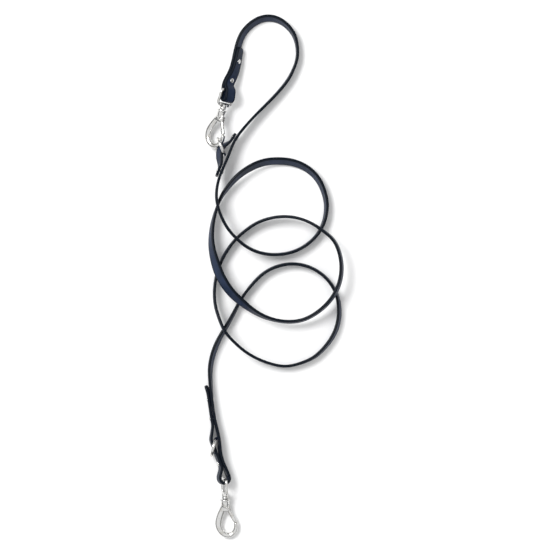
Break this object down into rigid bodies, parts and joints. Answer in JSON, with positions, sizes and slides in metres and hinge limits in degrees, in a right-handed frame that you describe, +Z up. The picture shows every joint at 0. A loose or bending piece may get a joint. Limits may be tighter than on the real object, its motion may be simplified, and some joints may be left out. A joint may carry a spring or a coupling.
{
  "type": "training leash",
  "caption": "Long flat leather training leash with a riveted swivel snap hook at each end, two rings and a clipped hand loop, laid down in loose coils.",
  "frame": {"origin": "on the floor, under the middle of the bounding box of the leash as it lies", "axes": "+Z up from the floor; +Y towards the hand loop, -Y towards the free snap hook; +X to the side the coils bulge to"},
  "size_m": [0.1745, 0.6546, 0.035],
  "materials": {
    "navy_leather": "smooth satin leather with burnished edges",
    "nickel_plate": "polished nickel plate on cast zinc and steel",
    "spring_steel": "drawn wire"
  },
  "bodies": {
    "leash": {"strap_handle_end": "navy_leather", "strap_handle_loop": "navy_leather", "strap_ring_run": "navy_leather", "strap_coil_1": "navy_leather", "strap_coil_2": "navy_leather", "strap_coil_3": "navy_leather", "strap_lower_run": "navy_leather", "strap_lower_end": "navy_leather", "handle_ring_tab": "navy_leather", "upper_rivet_1_head": "nickel_plate", "upper_rivet_1_cap": "nickel_plate", "upper_rivet_2_head": "nickel_plate", "upper_rivet_2_cap": "nickel_plate", "tab_rivet_1_head": "nickel_plate", "tab_rivet_1_cap": "nickel_plate", "tab_rivet_2_head": "nickel_plate", "tab_rivet_2_cap": "nickel_plate", "lower_rivet_1_head": "nickel_plate", "lower_rivet_1_cap": "nickel_plate", "lower_rivet_2_head": "nickel_plate", "lower_rivet_2_cap": "nickel_plate", "lower_rivet_3_head": "nickel_plate", "lower_rivet_3_cap": "nickel_plate"},
    "handle_ring": {"handle_ring": "nickel_plate"},
    "lower_ring": {"lower_ring": "nickel_plate"},
    "upper_eye": {"upper_swivel_eye": "nickel_plate"},
    "upper_hook": {"upper_hook_body": "nickel_plate", "upper_gate_pin": "nickel_plate", "upper_gate_spring": "spring_steel"},
    "upper_gate": {"upper_gate": "nickel_plate"},
    "lower_eye": {"lower_swivel_eye": "nickel_plate"},
    "lower_hook": {"lower_hook_body": "nickel_plate", "lower_gate_pin": "nickel_plate", "lower_gate_spring": "spring_steel"},
    "lower_gate": {"lower_gate": "nickel_plate"}
  },
  "joints": [
    {"name": "handle_ring_turn", "type": "hinge", "parent": "leash", "child": "handle_ring", "pos_m": [-0.06555, 0.1624, 0.016], "axis": [0.9304, 0.3665, 0], "continuous": true},
    {"name": "lower_ring_turn", "type": "hinge", "parent": "leash", "child": "lower_ring", "pos_m": [-0.07535, -0.2124, 0.0131], "axis": [0.9703, -0.2419, 0], "continuous": true},
    {"name": "upper_eye_pivot", "type": "hinge", "parent": "leash", "child": "upper_eye", "pos_m": [-0.05657, 0.23218, 0.02136], "axis": [0.7337, -0.1207, -0.6687], "range_deg": [-0.3, 0.3]},
    {"name": "upper_hook_swivel", "type": "hinge", "parent": "upper_eye", "child": "upper_hook", "pos_m": [-0.06419, 0.20873, 0.01723], "axis": [-0.3048, -0.938, -0.1651], "range_deg": [-8, 0.8]},
    {"name": "upper_gate_pivot", "type": "hinge", "parent": "upper_hook", "child": "upper_gate", "pos_m": [-0.0652, 0.19681, 0.01657], "axis": [0.4482, 0.0117, -0.8939], "range_deg": [0, 32], "stiffness_Nm_per_rad": 0.03, "springref_deg": -20.05, "deforming": ["upper_gate_spring"]},
    {"name": "lower_eye_pivot", "type": "hinge", "parent": "leash", "child": "lower_eye", "pos_m": [-0.06205, -0.25256, 0.01404], "axis": [0.2647, -0.1068, 0.9584], "range_deg": [-80, 80]},
    {"name": "lower_hook_swivel", "type": "hinge", "parent": "lower_eye", "child": "lower_hook", "pos_m": [-0.06118, -0.27736, 0.01104], "axis": [0.0347, -0.9922, -0.1201], "continuous": true},
    {"name": "lower_gate_pivot", "type": "hinge", "parent": "lower_hook", "child": "lower_gate", "pos_m": [-0.05778, -0.28876, 0.00965], "axis": [-0.0042, 0.1201, -0.9928], "range_deg": [0, 32], "stiffness_Nm_per_rad": 0.03, "springref_deg": -20.05, "deforming": ["lower_gate_spring"]}
  ]
}
